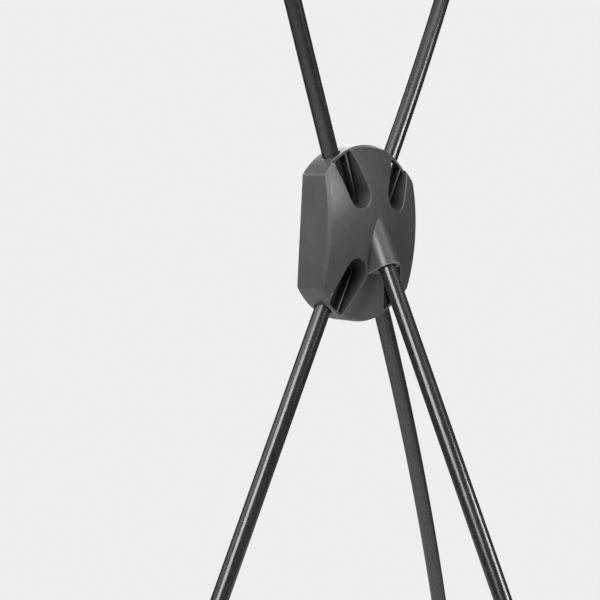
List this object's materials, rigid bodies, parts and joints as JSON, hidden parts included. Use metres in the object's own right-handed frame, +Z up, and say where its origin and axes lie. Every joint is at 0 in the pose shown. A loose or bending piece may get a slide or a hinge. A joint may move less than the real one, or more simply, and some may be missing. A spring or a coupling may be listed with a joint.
{
  "type": "tripod stand",
  "caption": "X-frame tripod stand: a moulded hub holds bowed plug-in rods as arms and legs, with arm-tip pegs and sliding leg hooks for a sheet.",
  "frame": {"origin": "on the floor, at the middle of the stand's bounding box seen from above", "axes": "+Z up, +Y forward (the side that a sheet hangs on), +X to the right seen from behind, where the rear leg stands"},
  "size_m": [0.59, 0.4948, 1.5733],
  "materials": {
    "hub_plastic": "fine moulded texture, satin",
    "fitting_plastic": "fine moulded texture, satin",
    "screw_steel": "zinc plated",
    "rod_glass_fibre": "pultruded fibre lengthwise, satin gloss",
    "ferrule_aluminium": "satin, turned ends",
    "foot_rubber": "matt"
  },
  "bodies": {
    "hub": {"hub_body": "hub_plastic", "hub_cover": "hub_plastic", "hub_screws": "screw_steel"},
    "left_arm_inner": {"left_arm_inner_rod": "rod_glass_fibre", "left_arm_ferrule": "ferrule_aluminium"},
    "left_arm_outer": {"left_arm_outer_rod": "rod_glass_fibre", "left_arm_cap": "fitting_plastic"},
    "right_arm_inner": {"right_arm_inner_rod": "rod_glass_fibre", "right_arm_ferrule": "ferrule_aluminium"},
    "right_arm_outer": {"right_arm_outer_rod": "rod_glass_fibre", "right_arm_cap": "fitting_plastic"},
    "left_leg_inner": {"left_leg_inner_rod": "rod_glass_fibre", "left_leg_ferrule": "ferrule_aluminium"},
    "left_leg_outer": {"left_leg_outer_rod": "rod_glass_fibre", "left_leg_foot": "foot_rubber"},
    "right_leg_inner": {"right_leg_inner_rod": "rod_glass_fibre", "right_leg_ferrule": "ferrule_aluminium"},
    "right_leg_outer": {"right_leg_outer_rod": "rod_glass_fibre", "right_leg_foot": "foot_rubber"},
    "rear_leg_inner": {"rear_leg_inner_rod": "rod_glass_fibre", "rear_leg_ferrule": "ferrule_aluminium"},
    "rear_leg_outer": {"rear_leg_outer_rod": "rod_glass_fibre", "rear_leg_foot": "foot_rubber"},
    "left_leg_clip": {"left_leg_sheet_clip": "fitting_plastic"},
    "right_leg_clip": {"right_leg_sheet_clip": "fitting_plastic"}
  },
  "joints": [
    {"name": "left_arm_pull_out", "type": "slide", "parent": "hub", "child": "left_arm_inner", "axis": [-0.4258, -0.059, 0.9029], "range_m": [0, 0.04]},
    {"name": "left_arm_section_pull_off", "type": "slide", "parent": "left_arm_inner", "child": "left_arm_outer", "axis": [-0.319, 0.039, 0.9469], "range_m": [0, 0.045]},
    {"name": "right_arm_pull_out", "type": "slide", "parent": "hub", "child": "right_arm_inner", "axis": [0.4258, -0.059, 0.9029], "range_m": [0, 0.04]},
    {"name": "right_arm_section_pull_off", "type": "slide", "parent": "right_arm_inner", "child": "right_arm_outer", "axis": [0.319, 0.039, 0.9469], "range_m": [0, 0.045]},
    {"name": "left_leg_pull_out", "type": "slide", "parent": "hub", "child": "left_leg_inner", "axis": [-0.4258, 0.059, -0.9029], "range_m": [0, 0.04]},
    {"name": "left_leg_section_pull_off", "type": "slide", "parent": "left_leg_inner", "child": "left_leg_outer", "axis": [-0.319, 0.1619, -0.9338], "range_m": [0, 0.045]},
    {"name": "right_leg_pull_out", "type": "slide", "parent": "hub", "child": "right_leg_inner", "axis": [0.4258, 0.059, -0.9029], "range_m": [0, 0.04]},
    {"name": "right_leg_section_pull_off", "type": "slide", "parent": "right_leg_inner", "child": "right_leg_outer", "axis": [0.319, 0.1619, -0.9338], "range_m": [0, 0.045]},
    {"name": "rear_leg_pull_out", "type": "slide", "parent": "hub", "child": "rear_leg_inner", "axis": [0, -0.4029, -0.9152], "range_m": [0, 0.04]},
    {"name": "rear_leg_section_pull_off", "type": "slide", "parent": "rear_leg_inner", "child": "rear_leg_outer", "axis": [0, -0.4029, -0.9152], "range_m": [0, 0.045]},
    {"name": "left_leg_clip_slide", "type": "slide", "parent": "left_leg_outer", "child": "left_leg_clip", "axis": [-0.285, 0.1926, -0.939], "range_m": [-0.08, 0.015]},
    {"name": "right_leg_clip_slide", "type": "slide", "parent": "right_leg_outer", "child": "right_leg_clip", "axis": [0.285, 0.1926, -0.939], "range_m": [-0.08, 0.015]}
  ]
}
